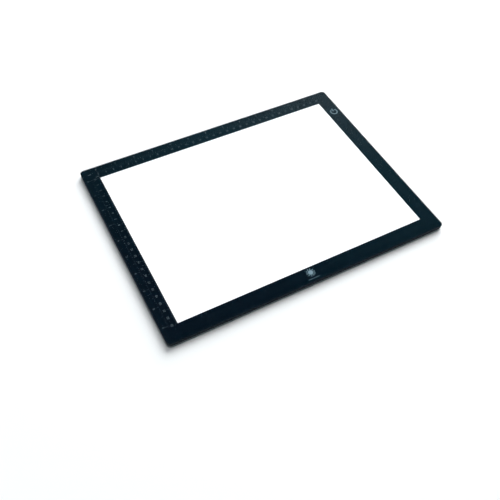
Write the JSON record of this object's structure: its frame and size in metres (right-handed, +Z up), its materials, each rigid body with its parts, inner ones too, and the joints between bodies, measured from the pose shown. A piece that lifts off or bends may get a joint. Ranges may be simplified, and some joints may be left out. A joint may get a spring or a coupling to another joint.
{
  "type": "light box",
  "caption": "Thin A4 LED light box with a lit tracing window, dark border with printed rulers, touch key and rear shell on rubber feet.",
  "frame": {"origin": "on the surface that the feet stand on, under the middle of the panel", "axes": "+X to the user's right along the long side, +Y away from the user towards the ruler edge, +Z up out of the lit face"},
  "size_m": [0.36, 0.27, 0.0075],
  "materials": {
    "shell_plastic": "fine matt texture, near-black",
    "clear_panel": "clear acrylic, polished",
    "border_print": "black print with a slight blue-green cast",
    "ruler_ink": "grey print",
    "symbol_ink": "light grey print",
    "tape": "double-sided tissue tape",
    "diffuser": "opal film, lit from behind",
    "guide_acrylic": "clear acrylic with a printed dot pattern",
    "reflector": "white polyester",
    "foam": "closed-cell foam",
    "conductive_foam": "woven conductive cover",
    "white_board": "white solder mask",
    "green_board": "green solder mask",
    "led_body": "white package with a yellow phosphor window",
    "chip_black": "moulded epoxy",
    "resistor_body": "glazed chip with tinned ends",
    "capacitor_body": "tan chip with tinned ends",
    "socket_steel": "tin-plated",
    "contact_gold": "gold-plated",
    "red_wire": "wire insulation",
    "black_wire": "wire insulation",
    "screw_steel": "black zinc",
    "foot_rubber": "matt"
  },
  "bodies": {
    "root": {"rear_cover": "shell_plastic", "mid_frame": "shell_plastic", "top_panel": "clear_panel", "border_mask": "border_print", "panel_tape": "tape", "ruler_print": "ruler_ink", "key_symbol": "symbol_ink", "front_mark": "symbol_ink", "diffuser_film": "diffuser", "light_guide_plate": "guide_acrylic", "reflector_sheet": "reflector", "edge_cushions": "foam", "led_board_far": "white_board", "led_board_near": "white_board", "leds_far": "led_body", "leds_near": "led_body", "strip_tapes": "tape", "controller_board": "green_board", "board_tape": "tape", "touch_pad": "conductive_foam", "touch_dimmer_chip": "chip_black", "led_driver": "chip_black", "chip_resistors": "resistor_body", "chip_capacitors": "capacitor_body", "usb_socket_shell": "socket_steel", "usb_socket_tongue": "chip_black", "usb_socket_contacts": "contact_gold", "lead_far_red": "red_wire", "lead_far_black": "black_wire", "lead_near_red": "red_wire", "lead_near_black": "black_wire", "cover_screws": "screw_steel", "rubber_feet": "foot_rubber"}
  },
  "joints": []
}
